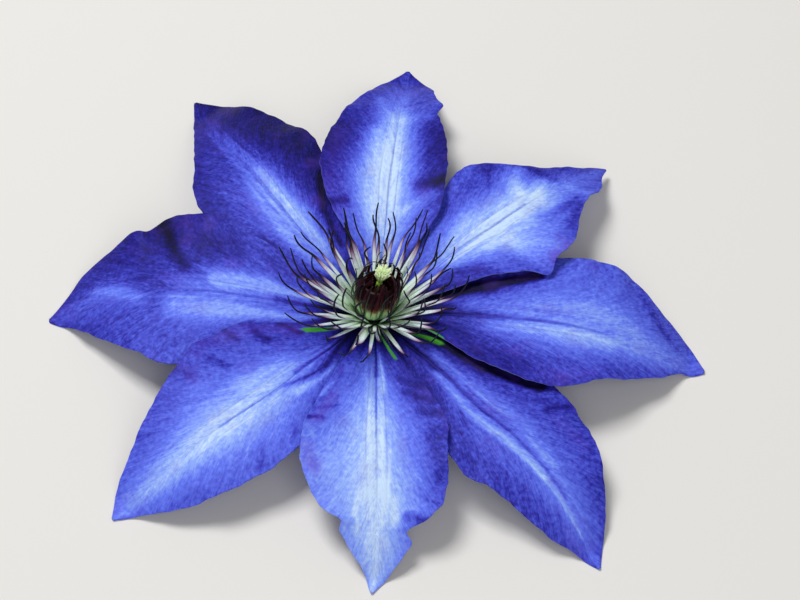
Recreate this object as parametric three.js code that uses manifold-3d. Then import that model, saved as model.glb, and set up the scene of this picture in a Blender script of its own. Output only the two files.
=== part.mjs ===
// A large-flowered clematis, picked and laid face up on a flat surface.
// Units are millimetres, +Z is up and the side nearest the viewer is -Y.
// Every shape is first worked out about the flower's own axis, then all of it
// moves together so that the origin is the middle of the footprint.
import * as THREE from 'three';
import { mergeVertices } from 'three/addons/utils/BufferGeometryUtils.js';
import Module from 'manifold-3d';

const wasm = await Module();
wasm.setup();

// ---- Driving sizes -------------------------------------------------------

const bladeThickness = 0.7; // every tepal blade
const lyingThickness = 0.6; // the blade where its tip lies on the surface
const pieceGap = 0.3; // air left between pieces that touch in the real flower
const clawRadius = 4.4; // where a tepal starts, from the flower's axis
const clawHeight = 8; // height of that start above the surface
const archRise = 5; // how far a tepal climbs from its claw to its crest
const archRadius = 38; // distance of the crest from the axis
const liftRamp = 0.06; // share of the midrib over which margins part at the claw
const tipHeight = -3; // the droop aims a tip below the surface, so its end lies flat on it
const droopPower = 2.4; // the higher, the later the droop begins
const barHeight = 0.25; // the pale bar along each midrib stands proud by this
const barEdge = 0.13; // where the bar is highest, as a share of the half width
const barFoot = 0.36; // where the bar has sunk back into the blade

const seatHeight = 8; // underside of the stamen and style bases
const seatTop = 9; // top of those bases
const styleBaseRadius = 1.05;
const innerBaseRadius = 2.35;
const outerBaseRadius = clawRadius - pieceGap;
const stalkRadius = 1.5;
const stalkFoot = 0.8; // the cut end of the flower stalk

// The head of styles leans to +X by this much at its top.
const headLean = 1.6;
const headHeight = 14;

const tepalRows = 24;
const tepalColumns = [-1, -0.86, -0.62, -barFoot, -barEdge, 0, barEdge, barFoot, 0.62, 0.86, 1];

// Each tepal, seen from above. Azimuth is in degrees anticlockwise from +X and
// reach is from the axis to the tip. The lists run along the midrib in equal
// steps from claw to tip: sway is how far the midrib bends to the left, left
// and right are the margins' distances from the straight line to the tip.
// Lift raises a margin over its neighbour or lowers it beneath: over is above
// the next tepal on that side, under is below it.
const over = [0.9, 1.4, 1.6, 0.7, 0];
const under = [-0.6, -1.1, -1.1, -0.5, 0];
// A fold is a short wave in one margin: side (1 left, -1 right), place along
// the midrib, length as a share of the midrib, height in millimetres.
// A notch is a dent in the outline: side, place, length, depth (- bulges out).
const tepals = [
  {
    name: 'tepal_east', azimuth: -8.4, reach: 76.3, liftLeft: under, liftRight: over,
    sway: [0, 0, -0.8, -1.2, -1.5, -1.9, -1.7, 0],
    left: [1.2, 9.2, 15.4, 19, 21.2, 20.4, 12.2, 0.3],
    right: [1.2, 6.2, 13.2, 17.2, 17, 12.4, 6.8, 0.3],
    folds: [[-1, 0.36, 0.06, 1], [-1, 0.54, 0.05, -0.9], [-1, 0.68, 0.05, 0.9], [1, 0.62, 0.08, 0.8]],
    notches: [[-1, 0.8, 0.03, 0.4], [-1, 0.92, 0.04, 1.6], [1, 0.95, 0.05, -1.6]],
  },
  {
    name: 'tepal_north_east', azimuth: 41.1, reach: 73.8, tip: 2.2, liftLeft: under, liftRight: over,
    sway: [0, 0, 0.2, 0.2, 0, -0.6, -0.9, 0],
    left: [1.2, 5.8, 9.6, 15, 17, 10.5, 4.3, 0.3],
    right: [1.2, 7.5, 11.5, 17.5, 18, 12.2, 5.8, 0.3],
    folds: [
      [1, 0.38, 0.04, -1.4], [1, 0.49, 0.05, 1.3],
      [-1, 0.54, 0.05, 1.2], [-1, 0.44, 0.03, -0.8], [-1, 0.8, 0.05, 1.2],
    ],
    notches: [
      [-1, 0.88, 0.05, -1.7], [-1, 0.45, 0.035, -2.6],
      [-1, 0.74, 0.06, 0.9], [1, 0.62, 0.07, -1.4], [1, 0.78, 0.03, 0.6],
    ],
  },
  {
    name: 'tepal_north', azimuth: 84.6, reach: 82.9, liftLeft: over, liftRight: over,
    sway: [0, 0, -0.2, -0.2, 0, 0, 0, 0],
    left: [1.2, 5.8, 12.8, 16.8, 16.6, 13.8, 8.9, 0.3],
    right: [1.2, 6.4, 12, 13.2, 12.4, 9.8, 7.6, 0.3],
    folds: [[1, 0.42, 0.06, 1.3], [-1, 0.44, 0.06, 1.3], [-1, 0.79, 0.04, 0.8], [1, 0.66, 0.06, -0.8]],
    notches: [[-1, 0.73, 0.02, 0.6], [-1, 0.78, 0.03, -1.1], [-1, 0.93, 0.05, -1.6], [1, 0.94, 0.05, -1.4]],
  },
  {
    name: 'tepal_north_west', azimuth: 122.2, reach: 84.9, liftLeft: under, liftRight: under,
    sway: [0, 2, 3.3, 3.8, 4, 4.6, 3.5, 0],
    left: [1.2, 6.8, 13, 18.8, 18.8, 12.6, 6.5, 0.3],
    right: [1.2, 4.8, 8.4, 12, 14.6, 13.2, 9, 0.3],
    folds: [[-1, 0.6, 0.05, 1.3], [-1, 0.73, 0.05, -1.1], [-1, 0.85, 0.05, 0.9], [1, 0.6, 0.07, 0.8]],
    notches: [[-1, 0.95, 0.05, -1.4]],
  },
  {
    name: 'tepal_west', azimuth: 177.2, reach: 76, liftLeft: under, liftRight: over,
    sway: [0, 0.6, -0.5, -1.6, -2.3, -2.6, -2.4, 0],
    left: [1.2, 6, 10.4, 15, 18.3, 13.4, 6.3, 0.3],
    right: [1.2, 7.5, 15, 20.5, 24, 20, 15.3, 0.3],
    folds: [[-1, 0.63, 0.035, -1.4], [-1, 0.74, 0.05, 1.8], [-1, 0.5, 0.05, 1], [1, 0.66, 0.06, 0.7]],
    notches: [
      [-1, 0.69, 0.03, 1.2], [-1, 0.77, 0.04, -1],
      [-1, 0.64, 0.05, -2.2], [-1, 0.93, 0.06, -1.8], [1, 0.93, 0.04, 0.9],
    ],
  },
  {
    name: 'tepal_south_west', azimuth: 221.8, reach: 77.1, liftLeft: under, liftRight: over,
    sway: [0, 2.5, 3, 3, 2.9, 2.2, 1.2, 0],
    left: [1.2, 6.2, 12.5, 17.4, 18, 15.4, 9.6, 0.3],
    right: [1.2, 6.2, 13.5, 17.3, 15.7, 12.2, 7.5, 0.3],
    folds: [[-1, 0.32, 0.035, 1], [-1, 0.41, 0.035, -0.7], [-1, 0.5, 0.04, 1], [1, 0.62, 0.06, -0.8]],
    notches: [[1, 0.63, 0.03, 0.6], [1, 0.93, 0.05, 1.2], [-1, 0.94, 0.05, -1]],
  },
  {
    name: 'tepal_south', azimuth: 269.7, reach: 70.3, liftLeft: over, liftRight: over,
    sway: [0, 0.5, 0.9, 1.1, 1.3, 1.1, 0.8, 0],
    left: [1.2, 5.2, 11, 16, 16.4, 15.8, 8.8, 0.3],
    right: [1.2, 6, 10.5, 14.2, 16, 13, 5.6, 0.3],
    folds: [[-1, 0.46, 0.06, 1.6], [1, 0.78, 0.035, 1.3], [-1, 0.79, 0.035, 1.3], [1, 0.55, 0.06, 0.8]],
    notches: [[1, 0.825, 0.02, 3], [1, 0.75, 0.025, -0.5], [-1, 0.8, 0.016, 1.6], [-1, 0.94, 0.04, 0.9]],
  },
  {
    name: 'tepal_south_east', azimuth: 307.5, reach: 80.8, liftLeft: under, liftRight: under,
    sway: [0, -1.2, -2.4, -2.8, -0.6, 1.3, 1.6, 0],
    left: [1.2, 8.8, 13.6, 17.2, 18.7, 16.8, 10.6, 0.3],
    right: [1.2, 4.8, 8, 11, 12.2, 8.5, 5.4, 0.3],
    folds: [[-1, 0.66, 0.035, 0.9], [1, 0.64, 0.05, -0.9], [1, 0.76, 0.05, 0.9], [-1, 0.5, 0.05, 0.6]],
    notches: [[-1, 0.92, 0.05, 0.8], [1, 0.62, 0.03, 0.4]],
  },
];

// ---- Small helpers -------------------------------------------------------

// Repeatable draws: the same seed always gives the same flower.
function makeDraw(seed) {
  let state = seed;
  return (low, high) => {
    state = (state * 16807) % 2147483647;
    return low + (high - low) * (state / 2147483647);
  };
}

function smooth(x) {
  const c = Math.min(Math.max(x, 0), 1);
  return c * c * (3 - 2 * c);
}

// A smooth curve through equally spaced values, read at a place from 0 to 1.
function along(values, place) {
  const last = values.length - 1;
  const x = Math.min(Math.max(place, 0), 1) * last;
  const i = Math.min(Math.floor(x), last - 1);
  const f = x - i;
  const p1 = values[i];
  const p2 = values[i + 1];
  const p0 = i > 0 ? values[i - 1] : p1;
  const p3 = i < last - 1 ? values[i + 2] : 2 * p2 - p1;
  const cubic = 3 * (p1 - p2) + p3 - p0;
  return p1 + 0.5 * f * (p2 - p0 + f * (2 * p0 - 5 * p1 + 4 * p2 - p3 + f * cubic));
}

function bump(place, centre, length) {
  return Math.exp(-(((place - centre) / length) ** 2));
}

function closedGeometry(points, triangles) {
  const geometry = new THREE.BufferGeometry();
  geometry.setAttribute('position', new THREE.Float32BufferAttribute(points.flatMap((p) => p.toArray()), 3));
  geometry.setIndex(triangles);
  geometry.computeVertexNormals();
  return geometry;
}

function toManifold(geometry) {
  const bare = geometry.clone();
  bare.deleteAttribute('normal');
  if (bare.hasAttribute('uv')) bare.deleteAttribute('uv');
  const welded = mergeVertices(bare, 1e-4);
  return new wasm.Manifold(new wasm.Mesh({
    numProp: 3,
    vertProperties: new Float32Array(welded.attributes.position.array),
    triVerts: new Uint32Array(welded.index.array),
  }));
}

function fuse(geometries) {
  let solid = toManifold(geometries[0]);
  for (const geometry of geometries.slice(1)) {
    solid = solid.add(toManifold(geometry));
  }
  const mesh = solid.getMesh();
  const fused = new THREE.BufferGeometry();
  fused.setAttribute('position', new THREE.Float32BufferAttribute(mesh.vertProperties, 3));
  fused.setIndex(Array.from(mesh.triVerts));
  fused.computeVertexNormals();
  return fused;
}

// ---- Tepals --------------------------------------------------------------

// Height of the shared umbrella that every tepal follows: it climbs from the
// claw to the crest, then droops to the tip.
function archHeight(radius, reach, tip) {
  const climb = 1 - (1 - Math.min(radius, archRadius) / archRadius) ** 2;
  const start = 1 - (1 - clawRadius / archRadius) ** 2;
  const rise = clawHeight + archRise * (climb - start);
  if (radius <= archRadius) return rise;
  const share = (radius - archRadius) / (reach - archRadius);
  return rise - (rise - tip) * share ** droopPower;
}

// Middle surface of a tepal: s runs from claw to tip, t from the right margin
// (-1) over the midrib (0) to the left margin (1).
function tepalMiddle(spec, s, t) {
  const side = t < 0 ? -1 : 1;
  const run = clawRadius + (spec.reach - clawRadius) * s;
  const sway = along(spec.sway, s);
  let halfWidth = side > 0 ? along(spec.left, s) - sway : along(spec.right, s) + sway;
  for (const [notchSide, place, length, depth] of spec.notches) {
    if (notchSide === side) halfWidth -= depth * bump(s, place, length);
  }
  const across = sway + t * halfWidth;
  const edge = Math.abs(t);
  let height = archHeight(Math.hypot(run, across), spec.reach, spec.tip ?? tipHeight);
  const lift = along(side > 0 ? spec.liftLeft : spec.liftRight, s) * smooth(s / liftRamp);
  height += lift * edge * edge;
  for (const [foldSide, place, length, rise] of spec.folds) {
    if (foldSide === side) height += rise * bump(s, place, length) * edge ** 2.5;
  }
  const bar = edge < barEdge ? edge / barEdge : (barFoot - edge) / (barFoot - barEdge);
  height += barHeight * Math.max(bar, 0) * Math.sin(Math.PI * s);
  const angle = THREE.MathUtils.degToRad(spec.azimuth);
  return new THREE.Vector3(
    run * Math.cos(angle) - across * Math.sin(angle),
    run * Math.sin(angle) + across * Math.cos(angle),
    height,
  );
}

function tepalNormal(spec, s, t) {
  const step = 0.01;
  const t0 = Math.max(t - step, -1);
  const t1 = Math.min(t + step, 1);
  const s0 = Math.max(s - step, 0);
  const s1 = Math.min(s + step, 1);
  const outward = tepalMiddle(spec, s1, t).sub(tepalMiddle(spec, s0, t));
  const sideways = tepalMiddle(spec, s, t1).sub(tepalMiddle(spec, s, t0));
  return outward.cross(sideways).normalize();
}

// Two faces of triangles, split alike, closed by a narrow rim. Where a tip
// would pass through the surface it lies flat on it instead.
function tepalGeometry(spec) {
  const columns = tepalColumns.length;
  const tops = [];
  const bottoms = [];
  for (let row = 0; row <= tepalRows; row += 1) {
    const s = row / tepalRows;
    for (const t of tepalColumns) {
      const middle = tepalMiddle(spec, s, t);
      const half = tepalNormal(spec, s, t).multiplyScalar(bladeThickness / 2);
      const top = middle.clone().add(half);
      const bottom = middle.clone().sub(half);
      top.z = Math.max(top.z, lyingThickness);
      bottom.z = Math.max(bottom.z, 0);
      tops.push(top);
      bottoms.push(bottom);
    }
  }
  const count = tops.length;
  const triangles = [];
  for (let row = 0; row < tepalRows; row += 1) {
    for (let column = 0; column < columns - 1; column += 1) {
      const a = row * columns + column;
      const b = a + columns;
      triangles.push(a, b, b + 1, a, b + 1, a + 1);
      triangles.push(count + a, count + b + 1, count + b, count + a, count + a + 1, count + b + 1);
    }
  }
  const rim = [];
  for (let row = 0; row < tepalRows; row += 1) rim.push(row * columns);
  for (let column = 0; column < columns; column += 1) rim.push(tepalRows * columns + column);
  for (let row = tepalRows - 1; row >= 0; row -= 1) rim.push(row * columns + columns - 1);
  for (let column = columns - 2; column > 0; column -= 1) rim.push(column);
  rim.forEach((a, i) => {
    const b = rim[(i + 1) % rim.length];
    triangles.push(a, count + a, count + b, a, count + b, b);
  });
  return closedGeometry(tops.concat(bottoms), triangles);
}

// ---- Strands: stamens and styles -----------------------------------------

// A four-sided strand along a path. Width lies sideways, thickness across it.
function strandGeometry(path, halfWidths, halfThicknesses, sideways) {
  const points = [];
  path.forEach((point, i) => {
    const before = path[Math.max(i - 1, 0)];
    const after = path[Math.min(i + 1, path.length - 1)];
    const forward = after.clone().sub(before).normalize();
    const depth = forward.clone().cross(sideways).normalize();
    const width = depth.clone().cross(forward).normalize().multiplyScalar(halfWidths[i]);
    depth.multiplyScalar(halfThicknesses[i]);
    points.push(point.clone().add(width), point.clone().add(depth));
    points.push(point.clone().sub(width), point.clone().sub(depth));
  });
  const triangles = [0, 2, 1, 0, 3, 2];
  for (let i = 0; i < path.length - 1; i += 1) {
    for (let side = 0; side < 4; side += 1) {
      const a = i * 4 + side;
      const b = i * 4 + ((side + 1) % 4);
      triangles.push(a, b + 4, a + 4, a, b, b + 4);
    }
  }
  const end = (path.length - 1) * 4;
  triangles.push(end, end + 1, end + 2, end, end + 2, end + 3);
  return closedGeometry(points, triangles);
}

// A ring with a rectangular section, the base that strands grow from.
function ringGeometry(innerRadius, outerRadius, foot, top, sides) {
  const profile = [
    [innerRadius, foot], [outerRadius, foot], [outerRadius, top], [innerRadius, top], [innerRadius, foot],
  ];
  return latheGeometry(profile, sides);
}

// A turned shape about the flower's axis.
function latheGeometry(profile, sides) {
  const geometry = new THREE.LatheGeometry(profile.map(([r, z]) => new THREE.Vector2(r, z)), sides);
  geometry.rotateX(Math.PI / 2);
  return geometry;
}

// How far the head of the flower has leaned to +X at a height.
function leanAt(height) {
  return headLean * Math.max((height - seatHeight) / headHeight, 0) ** 2;
}

// One spreading stamen: a flat filament that climbs outwards and a thin anther
// that hooks upwards and sideways.
const stamenPlaces = [0, 0.2, 0.42, 0.58, 0.7, 0.8, 0.9, 1];
const stamenHalfWidths = [0.42, 0.56, 0.6, 0.44, 0.32, 0.32, 0.32, 0.3];
const stamenHalfThickness = 0.3;
const antherStart = 0.56;

function stamenPath(root, azimuth, elevation, length, hook, drift) {
  const path = [root.clone()];
  for (let i = 1; i < stamenPlaces.length; i += 1) {
    const middle = (stamenPlaces[i] + stamenPlaces[i - 1]) / 2;
    const turn = smooth((middle - antherStart) / (1 - antherStart));
    const climb = elevation + hook * turn;
    const heading = azimuth + drift * turn;
    const step = length * (stamenPlaces[i] - stamenPlaces[i - 1]);
    path.push(path[i - 1].clone().add(new THREE.Vector3(
      step * Math.cos(climb) * Math.cos(heading),
      step * Math.cos(climb) * Math.sin(heading),
      step * Math.sin(climb),
    )));
  }
  return path;
}

// Four rings of spreading stamens, the outer one lowest.
const stamenRings = [
  { count: 20, rootRadius: 3.6, elevation: 26, length: 23.5, hook: 36 },
  { count: 16, rootRadius: 3.4, elevation: 36, length: 23, hook: 42 },
  { count: 12, rootRadius: 3.3, elevation: 47, length: 20.5, hook: 48 },
  { count: 10, rootRadius: 3.3, elevation: 57, length: 17, hook: 56 },
];
const stamenRootDepth = 0.5; // how deep a root starts inside the ring

function stamensGeometry() {
  const draw = makeDraw(41);
  const strands = [ringGeometry(innerBaseRadius + pieceGap, outerBaseRadius, seatHeight, seatTop, 40)];
  stamenRings.forEach((ring, level) => {
    for (let i = 0; i < ring.count; i += 1) {
      const azimuth = (2 * Math.PI * (i + level / 3 + draw(-0.22, 0.22))) / ring.count;
      const elevation = THREE.MathUtils.degToRad(ring.elevation + draw(-3, 3));
      const hook = THREE.MathUtils.degToRad(ring.hook + draw(-24, 24));
      const drift = THREE.MathUtils.degToRad(draw(-55, 55));
      const root = new THREE.Vector3(
        ring.rootRadius * Math.cos(azimuth),
        ring.rootRadius * Math.sin(azimuth),
        seatTop - stamenRootDepth,
      );
      const path = stamenPath(root, azimuth, elevation, ring.length + draw(-1.8, 1.5), hook, drift);
      const sideways = new THREE.Vector3(-Math.sin(azimuth), Math.cos(azimuth), 0);
      const thicknesses = stamenPlaces.map(() => stamenHalfThickness);
      strands.push(strandGeometry(path, stamenHalfWidths, thicknesses, sideways));
    }
  });
  return fuse(strands);
}

// The inner stamens stand up, bulge and close over the styles like a dome.
// Along each one, radius and height follow these two curves.
const domeRadii = [1.75, 3.5, 4.6, 5, 4.8, 3.8];
const domeHeights = [8.7, 10.7, 14, 17.4, 20.6, 22.6];
const domeHalfWidths = [0.5, 0.66, 0.7, 0.6, 0.44, 0.3];
const domeHalfThickness = 0.32;
const domePlaces = [0, 0.2, 0.4, 0.6, 0.8, 1];
const domeCount = 22;
const coreProfile = [
  [1.75, 8.6], [2.2, 8.6], [3.3, 10.6], [4.1, 13.8], [4.4, 17], [4, 19.8], [3.2, 21.2],
  [2.85, 20.4], [3, 17], [2.6, 13], [1.75, 10.6], [1.75, 8.6],
];

function leanGeometry(geometry) {
  const position = geometry.attributes.position;
  for (let i = 0; i < position.count; i += 1) {
    position.setX(i, position.getX(i) + leanAt(position.getZ(i)));
  }
  return geometry;
}

function innerStamensGeometry() {
  const draw = makeDraw(97);
  const strands = [
    ringGeometry(styleBaseRadius + pieceGap, innerBaseRadius, seatHeight, seatTop, 28),
    latheGeometry(coreProfile, 18),
  ];
  for (let i = 0; i < domeCount; i += 1) {
    const azimuth = (2 * Math.PI * (i + draw(-0.2, 0.2))) / domeCount;
    const bulge = draw(0.96, 1.1);
    const height = draw(-0.5, 0.9);
    const twist = draw(-0.25, 0.25);
    const path = domePlaces.map((place) => {
      const angle = azimuth + twist * place * place;
      const radius = along(domeRadii, place) * (1 + (bulge - 1) * Math.sin(Math.PI * place));
      return new THREE.Vector3(
        radius * Math.cos(angle),
        radius * Math.sin(angle),
        along(domeHeights, place) + height * place,
      );
    });
    const sideways = new THREE.Vector3(-Math.sin(azimuth), Math.cos(azimuth), 0);
    const thicknesses = domePlaces.map(() => domeHalfThickness);
    strands.push(strandGeometry(path, domeHalfWidths, thicknesses, sideways));
  }
  return leanGeometry(fuse(strands));
}

// The styles: one column that opens like a shuttlecock into a feathery tuft.
const columnProfile = [
  [0, seatHeight], [styleBaseRadius, seatHeight], [styleBaseRadius, seatTop],
  [0.8, 12], [0.8, 18.6], [0.7, 19.7], [0, 20],
];
const tuftCount = 21;
const tuftRoot = 19.4;
const tuftLength = 4.8;

function stylesGeometry() {
  const draw = makeDraw(23);
  const golden = Math.PI * (3 - Math.sqrt(5));
  const strands = [latheGeometry(columnProfile, 14)];
  for (let i = 0; i < tuftCount; i += 1) {
    const azimuth = i * golden + draw(-0.2, 0.2);
    const spread = 0.08 + 0.42 * Math.sqrt((i + 0.5) / tuftCount);
    const length = tuftLength * draw(0.85, 1.12);
    const path = [0, 0.55, 1].map((place) => {
      const outwards = length * place * Math.sin(spread);
      return new THREE.Vector3(
        outwards * Math.cos(azimuth),
        outwards * Math.sin(azimuth),
        tuftRoot + length * place * Math.cos(spread),
      );
    });
    const sideways = new THREE.Vector3(-Math.sin(azimuth), Math.cos(azimuth), 0);
    const halves = [0.32, 0.34, 0.3];
    strands.push(strandGeometry(path, halves, halves, sideways));
  }
  return leanGeometry(fuse(strands));
}

// ---- Stalk ---------------------------------------------------------------

// The cut flower stalk widening into the seat that everything grows from.
const seatUnderside = seatHeight - pieceGap;
const stalkProfile = [
  [0, stalkFoot], [stalkRadius - 0.15, stalkFoot], [stalkRadius, stalkFoot + 0.2],
  [stalkRadius - 0.1, 3.4], [stalkRadius + 0.1, 5], [2.5, 6.3], [3.6, 6.9],
  [outerBaseRadius - 0.1, 7.2], [outerBaseRadius, 7.45], [outerBaseRadius - 0.1, seatUnderside],
  [0, seatUnderside],
];

// ---- Assembly ------------------------------------------------------------

const group = new THREE.Group();

function addPiece(name, geometry, colour, roughness) {
  const material = new THREE.MeshStandardMaterial({ color: colour, roughness, metalness: 0 });
  material.name = name;
  const mesh = new THREE.Mesh(geometry, material);
  mesh.name = name;
  group.add(mesh);
}

addPiece('stalk', latheGeometry(stalkProfile, 18), 0x6f8f4a, 0.6);
addPiece('stamens', stamensGeometry(), 0xb9c6b4, 0.6);
addPiece('inner_stamens', innerStamensGeometry(), 0x3c1a26, 0.55);
addPiece('styles', stylesGeometry(), 0xcbe0a8, 0.7);
for (const spec of tepals) {
  addPiece(spec.name, tepalGeometry(spec), 0x5a62d0, 0.55);
}

// Put the origin in the middle of the footprint, on the surface.
const bounds = new THREE.Box3().setFromObject(group);
const middle = bounds.getCenter(new THREE.Vector3());
for (const mesh of group.children) {
  mesh.geometry.translate(-middle.x, -middle.y, 0);
}

export default group;
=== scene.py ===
import math

import bpy
import numpy as np
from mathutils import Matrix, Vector


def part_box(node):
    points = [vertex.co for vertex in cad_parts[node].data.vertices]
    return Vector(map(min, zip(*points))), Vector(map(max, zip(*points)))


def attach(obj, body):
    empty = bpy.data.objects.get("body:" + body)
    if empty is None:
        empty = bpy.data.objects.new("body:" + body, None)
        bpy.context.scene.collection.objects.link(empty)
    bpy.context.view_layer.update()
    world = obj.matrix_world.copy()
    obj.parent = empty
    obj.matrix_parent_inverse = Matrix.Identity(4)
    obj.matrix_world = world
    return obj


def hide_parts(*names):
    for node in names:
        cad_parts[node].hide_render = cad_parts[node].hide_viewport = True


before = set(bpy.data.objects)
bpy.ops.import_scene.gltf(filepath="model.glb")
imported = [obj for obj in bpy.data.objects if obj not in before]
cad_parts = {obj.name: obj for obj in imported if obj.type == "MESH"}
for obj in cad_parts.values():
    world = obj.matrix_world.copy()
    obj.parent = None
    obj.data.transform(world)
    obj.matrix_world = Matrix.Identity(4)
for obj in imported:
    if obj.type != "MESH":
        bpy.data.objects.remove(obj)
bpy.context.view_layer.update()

# A large-flowered clematis, picked and laid face up.
# Shapes are worked out in millimetres about the flower's own axis, with +Z up
# and the viewer on the -Y side, and are moved to the axis as meshes are made.
mm = 0.001

stalkLow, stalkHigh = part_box("stalk")
flowerAxis = np.array([
    (stalkLow[0] + stalkHigh[0]) / 2 / mm,
    (stalkLow[1] + stalkHigh[1]) / 2 / mm,
    0.0,
])


# Curves and draws

# A smooth step from 0 to 1: three x squared less two x cubed.
def smoothStep(x):
    x = np.clip(x, 0, 1)
    return x * x * (3 - 2 * x)


# A bell round a centre: e to the power of minus the squared distance in lengths.
def bell(x, centre, length):
    return np.exp(-(((x - centre) / length) ** 2))


# A cubic curve through equally spaced values, read at places from 0 to 1.
def along(values, place):
    values = np.asarray(values, float)
    last = len(values) - 1
    x = np.clip(place, 0, 1) * last
    i = np.minimum(x.astype(int), last - 1)
    f = x - i
    p1, p2 = values[i], values[i + 1]
    p0 = np.where(i > 0, values[np.maximum(i - 1, 0)], p1)
    p3 = np.where(i < last - 1, values[np.minimum(i + 2, last)], 2 * p2 - p1)
    return p1 + 0.5 * f * (p2 - p0 + f * (2 * p0 - 5 * p1 + 4 * p2 - p3 + f * (3 * (p1 - p2) + p3 - p0)))


# Repeatable draws, the same ones that placed the strands of the solid model.
def makeDraw(seed):
    state = [seed]

    def draw(low, high):
        state[0] = (state[0] * 16807) % 2147483647
        return low + (high - low) * (state[0] / 2147483647)

    return draw


# A draw of up to a limit either way.
def eitherWay(draw, limit):
    return draw(-limit, limit)


# Points by their distance from the axis, their bearing and their height.
def polar(radius, bearing, height):
    return np.stack([radius * np.cos(bearing), radius * np.sin(bearing), height], axis=-1)


# A gentle irregular wave: a sum of sines, each with its own pace and start.
def wobble(x, paces, seed):
    draw = makeDraw(seed)
    total = np.zeros_like(x)
    for pace in paces:
        total = total + np.sin(2 * np.pi * (pace * x + draw(0, 1)))
    return total / len(paces)


# Meshes

# Makes a mesh from points in millimetres and a list of face arrays. Each
# attribute is one number for every point. The piece rides on the root body.
def makePiece(name, points, faceArrays, attributes, material):
    points = (np.asarray(points).reshape(-1, 3) + flowerAxis) * mm
    mesh = bpy.data.meshes.new(name)
    mesh.vertices.add(len(points))
    mesh.vertices.foreach_set("co", points.astype(np.float32).ravel())
    corners = np.concatenate([faces.ravel() for faces in faceArrays]).astype(np.int32)
    sizes = np.concatenate([np.full(len(faces), faces.shape[1]) for faces in faceArrays])
    starts = np.concatenate([[0], np.cumsum(sizes)[:-1]]).astype(np.int32)
    mesh.loops.add(len(corners))
    mesh.loops.foreach_set("vertex_index", corners)
    mesh.polygons.add(len(sizes))
    mesh.polygons.foreach_set("loop_start", starts)
    mesh.polygons.foreach_set("use_smooth", np.ones(len(sizes), bool))
    mesh.update(calc_edges=True)
    mesh.validate()
    for key, values in attributes.items():
        layer = mesh.attributes.new(key, "FLOAT", "POINT")
        layer.data.foreach_set("value", np.asarray(values, np.float32).ravel())
    mesh.materials.append(material)
    piece = bpy.data.objects.new(name, mesh)
    bpy.context.collection.objects.link(piece)
    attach(piece, "root")
    return piece


# Quads of a grid of points, row by row.
def gridFaces(rows, columns, first=0):
    a = first + (np.arange(rows - 1)[:, None] * columns + np.arange(columns - 1)).ravel()
    return np.stack([a, a + columns, a + columns + 1, a + 1], axis=1)


# Shader helpers

# The tree of the first socket among some values.
def treeOf(*values):
    return next(value.id_data for value in values if isinstance(value, bpy.types.NodeSocket))


# Links a socket to a value that varies, or sets a plain number or colour on it.
def plug(value, socket):
    if isinstance(value, bpy.types.NodeSocket):
        socket.id_data.links.new(value, socket)
    else:
        socket.default_value = value


# One Math node of any operation; its inputs are numbers or sockets.
def calc(operation, *values, clamp=False):
    node = treeOf(*values).nodes.new("ShaderNodeMath")
    node.operation = operation
    node.use_clamp = clamp
    for value, socket in zip(values, node.inputs):
        plug(value, socket)
    return node.outputs[0]


def plus(first, second, clamp=False):
    return calc("ADD", first, second, clamp=clamp)


def minus(first, second):
    return calc("SUBTRACT", first, second)


def times(first, second):
    return calc("MULTIPLY", first, second)


# A colour that goes from the first to the second as the factor goes from 0 to 1.
def blendColour(factor, first, second):
    node = treeOf(factor, first, second).nodes.new("ShaderNodeMix")
    node.data_type = "RGBA"
    plug(factor, node.inputs[0])
    plug(first, node.inputs[6])
    plug(second, node.inputs[7])
    return node.outputs[2]


# A colour times a varying value.
def shadeColour(tint, value):
    node = treeOf(tint, value).nodes.new("ShaderNodeVectorMath")
    node.operation = "SCALE"
    plug(tint, node.inputs[0])
    plug(value, node.inputs["Scale"])
    return node.outputs["Vector"]


# A smooth step of a value between two limits, from 0 to 1.
def ramp(value, low, high):
    node = treeOf(value).nodes.new("ShaderNodeMapRange")
    node.interpolation_type = "SMOOTHSTEP"
    plug(value, node.inputs["Value"])
    plug(low, node.inputs["From Min"])
    plug(high, node.inputs["From Max"])
    return node.outputs["Result"]


# A number that each point of the mesh carries, by its name.
def attribute(tree, name):
    node = tree.nodes.new("ShaderNodeAttribute")
    node.attribute_name = name
    return node.outputs["Fac"]


# Three values as one vector.
def combine(x, y, z):
    node = treeOf(x, y, z).nodes.new("ShaderNodeCombineXYZ")
    for value, socket in zip((x, y, z), node.inputs):
        plug(value, socket)
    return node.outputs[0]


# Soft noise about 0.5 over a vector.
def noise(vector, scale, detail=3.0, roughness=0.55):
    node = treeOf(vector).nodes.new("ShaderNodeTexNoise")
    plug(vector, node.inputs["Vector"])
    node.inputs["Scale"].default_value = scale
    node.inputs["Detail"].default_value = detail
    node.inputs["Roughness"].default_value = roughness
    return node.outputs["Fac"]


# A display colour (0 to 255) as the linear colour that a socket takes.
def colour(red, green, blue):
    display = np.array([red, green, blue]) / 255
    linear = np.where(display <= 0.04045, display / 12.92, ((display + 0.055) / 1.055) ** 2.4)
    return (*linear.tolist(), 1.0)


# The colour at a value's place between stops, each a place and a colour.
def colourRamp(value, stops):
    node = treeOf(value).nodes.new("ShaderNodeValToRGB")
    elements = node.color_ramp.elements
    while len(elements) < len(stops):
        elements.new(0.5)
    for element, (place, tint) in zip(elements, stops):
        element.position = place
        element.color = tint
    plug(value, node.inputs["Fac"])
    return node.outputs["Color"]


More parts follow.
